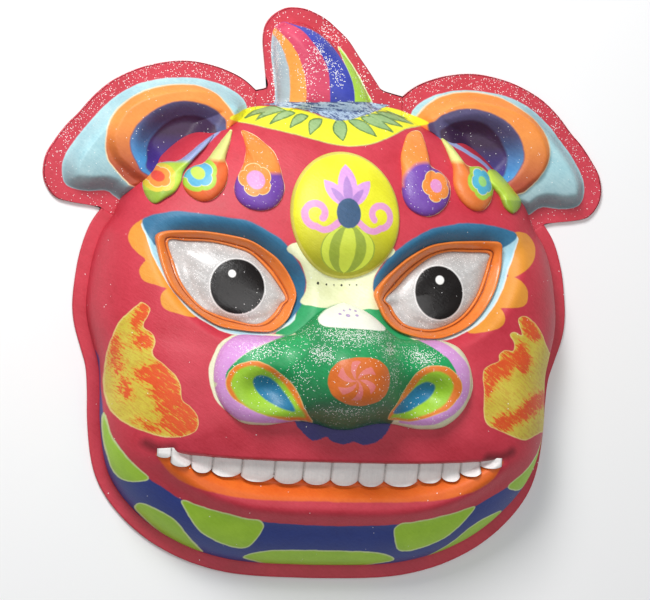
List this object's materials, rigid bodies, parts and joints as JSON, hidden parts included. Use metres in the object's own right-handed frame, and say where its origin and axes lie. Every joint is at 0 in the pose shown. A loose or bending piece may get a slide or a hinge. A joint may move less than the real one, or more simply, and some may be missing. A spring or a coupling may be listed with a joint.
{
  "type": "lion dance mask",
  "caption": "Painted lion mask of moulded paper pulp, worn over the face: hollow relief with a flat rim, ears, a horn, round nose and raised trim.",
  "frame": {"origin": "middle of the mask's box, on the surface that the mask lies on", "axes": "+Z points out of the face, +Y towards the horn, +X to the viewer's right when the viewer faces the mask and the horn is up"},
  "size_m": [0.39, 0.3869, 0.1176],
  "materials": {
    "red_paint": "satin acrylic paint on moulded paper pulp",
    "blue_paint": "satin paint with loose glitter",
    "green_paint": "satin paint with loose glitter",
    "white_gloss": "gloss varnish over paint",
    "orange_paint": "satin paint",
    "yellow_paint": "satin paint",
    "ivory_paint": "satin paint"
  },
  "bodies": {
    "root": {"face_shell": "red_paint", "left_ear": "red_paint", "right_ear": "red_paint", "horn": "blue_paint", "nose": "green_paint", "forehead_boss": "yellow_paint", "upper_teeth": "ivory_paint", "left_eyeball": "white_gloss", "left_eyelid": "orange_paint", "left_drop_1": "yellow_paint", "left_drop_2": "yellow_paint", "left_drop_3": "yellow_paint", "right_eyeball": "white_gloss", "right_eyelid": "orange_paint", "right_drop_1": "yellow_paint", "right_drop_2": "yellow_paint", "right_drop_3": "yellow_paint"}
  },
  "joints": []
}
